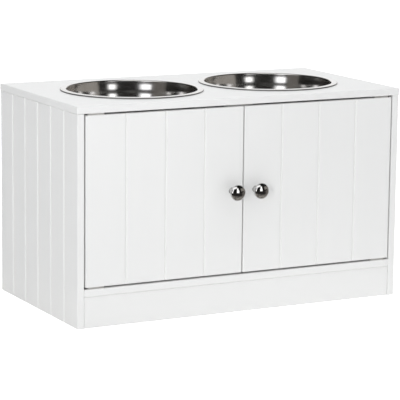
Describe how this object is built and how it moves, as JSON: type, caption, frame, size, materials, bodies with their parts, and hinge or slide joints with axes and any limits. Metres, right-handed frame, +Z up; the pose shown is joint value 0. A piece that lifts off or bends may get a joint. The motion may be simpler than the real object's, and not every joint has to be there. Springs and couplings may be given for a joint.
{
  "type": "elevated dog feeder with storage",
  "caption": "Raised feeding cabinet with lift-out steel bowls in its top and hinged plank-grooved doors over a storage space.",
  "frame": {"origin": "on the floor, midway between left and right and midway between the knobs' fronts and the cabinet's rear edge", "axes": "+X to the right as seen from the front, +Y to the back, +Z up"},
  "size_m": [0.6, 0.348, 0.3626],
  "materials": {
    "white_paint": "medium-density fibreboard with satin white paint",
    "zinc_plate": "zinc plated",
    "beech": "plain beech",
    "hinge_steel": "nickel plated, satin",
    "nylon": "white moulded nylon",
    "ferrite": "dark sintered ferrite",
    "chrome_plate": "bright chrome plate on cast zinc",
    "stainless": "mirror-polished stainless sheet"
  },
  "bodies": {
    "cabinet": {"top_board": "white_paint", "left_side_panel": "white_paint", "right_side_panel": "white_paint", "bottom_shelf": "white_paint", "kickboard": "white_paint", "rear_rail": "white_paint", "back_panel": "white_paint", "cam_bolts": "zinc_plate", "cam_locks": "zinc_plate", "dowels": "beech", "upper_left_leaf": "hinge_steel", "lower_left_leaf": "hinge_steel", "upper_right_leaf": "hinge_steel", "lower_right_leaf": "hinge_steel", "hinge_pins": "hinge_steel", "hinge_washers": "nylon", "cabinet_leaf_screws": "hinge_steel", "catch_housing": "nylon", "catch_magnets": "ferrite", "catch_pole_plates": "hinge_steel", "catch_screws": "zinc_plate"},
    "left_door": {"left_door": "white_paint", "left_door_upper_leaf": "hinge_steel", "left_door_lower_leaf": "hinge_steel", "left_door_leaf_screws": "hinge_steel", "left_knob": "chrome_plate", "left_knob_screw": "zinc_plate", "left_strike_plate": "hinge_steel", "left_strike_screw": "hinge_steel"},
    "right_door": {"right_door": "white_paint", "right_door_upper_leaf": "hinge_steel", "right_door_lower_leaf": "hinge_steel", "right_door_leaf_screws": "hinge_steel", "right_knob": "chrome_plate", "right_knob_screw": "zinc_plate", "right_strike_plate": "hinge_steel", "right_strike_screw": "hinge_steel"},
    "left_bowl": {"left_bowl": "stainless"},
    "right_bowl": {"right_bowl": "stainless"}
  },
  "joints": [
    {"name": "left_door_hinge", "type": "hinge", "parent": "cabinet", "child": "left_door", "pos_m": [-0.27449, -0.139, 0.206], "axis": [0, 0, -1], "range_deg": [0, 110]},
    {"name": "right_door_hinge", "type": "hinge", "parent": "cabinet", "child": "right_door", "pos_m": [0.27449, -0.139, 0.206], "axis": [0, 0, 1], "range_deg": [0, 110]},
    {"name": "left_bowl_lift", "type": "slide", "parent": "cabinet", "child": "left_bowl", "axis": [0, 0, 1], "range_m": [0, 0.09]},
    {"name": "right_bowl_lift", "type": "slide", "parent": "cabinet", "child": "right_bowl", "axis": [0, 0, 1], "range_m": [0, 0.09]}
  ]
}
